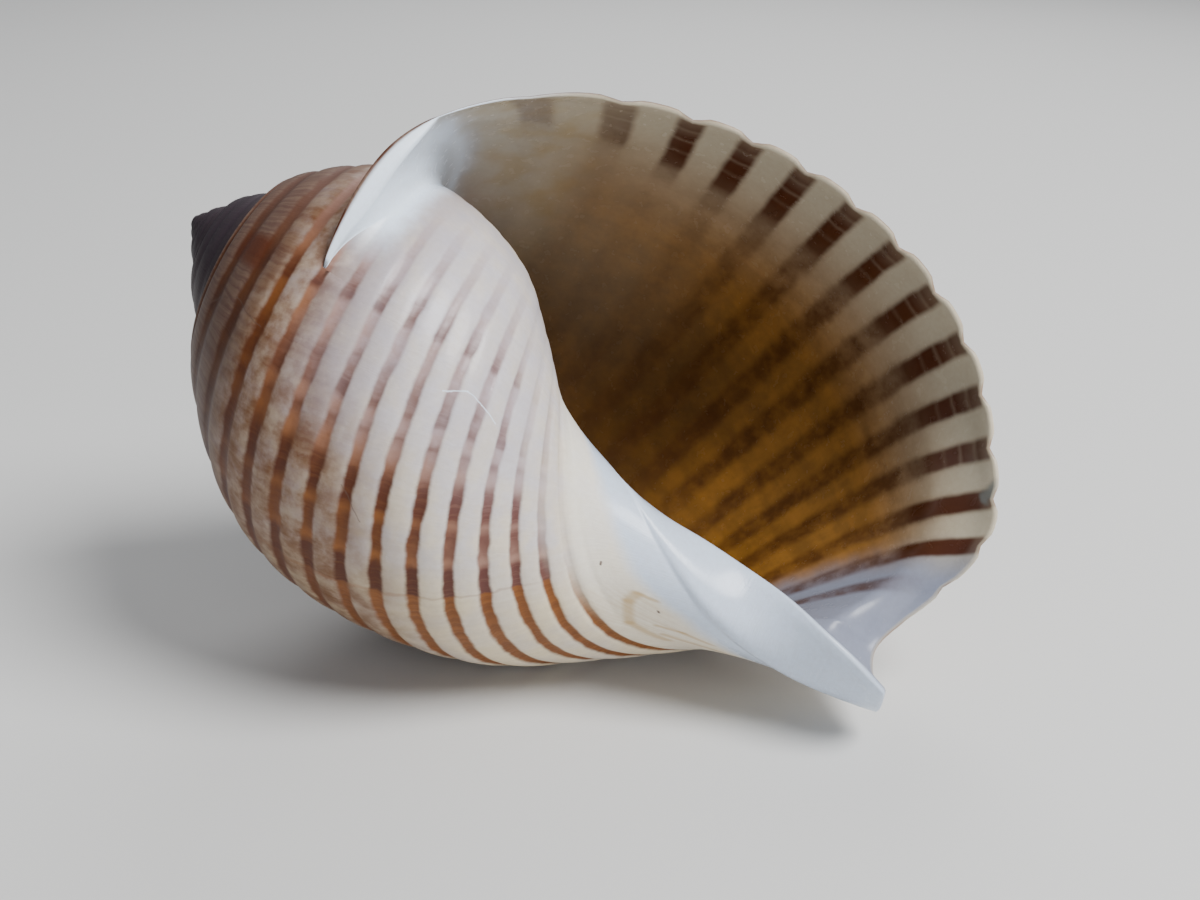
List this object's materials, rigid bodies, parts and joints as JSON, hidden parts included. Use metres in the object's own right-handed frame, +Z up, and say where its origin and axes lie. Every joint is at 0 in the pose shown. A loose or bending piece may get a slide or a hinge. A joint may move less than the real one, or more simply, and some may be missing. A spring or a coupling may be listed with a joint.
{
  "type": "tun shell",
  "caption": "Empty dextral sea-snail shell, inflated last whorl with flat spiral ribs, wide scalloped mouth, channelled suture, twisted columella and notch.",
  "frame": {"origin": "centre of the overall box at the level of the floor it lies on, in the pose it lies in by itself", "axes": "+Z up; +X along the length, towards the front end with the siphonal notch; the mouth opens mainly towards -Y; the coiling axis runs from the apex at -X to the front end and dips about 25 degrees below the horizontal"},
  "size_m": [0.0962, 0.0576, 0.0676],
  "materials": {
    "shell": "smooth shell with a soft gloss, cream-white flat ribs and brown spiral stripes in the furrows between them"
  },
  "bodies": {
    "root": {"tun_shell": "shell"}
  },
  "joints": []
}
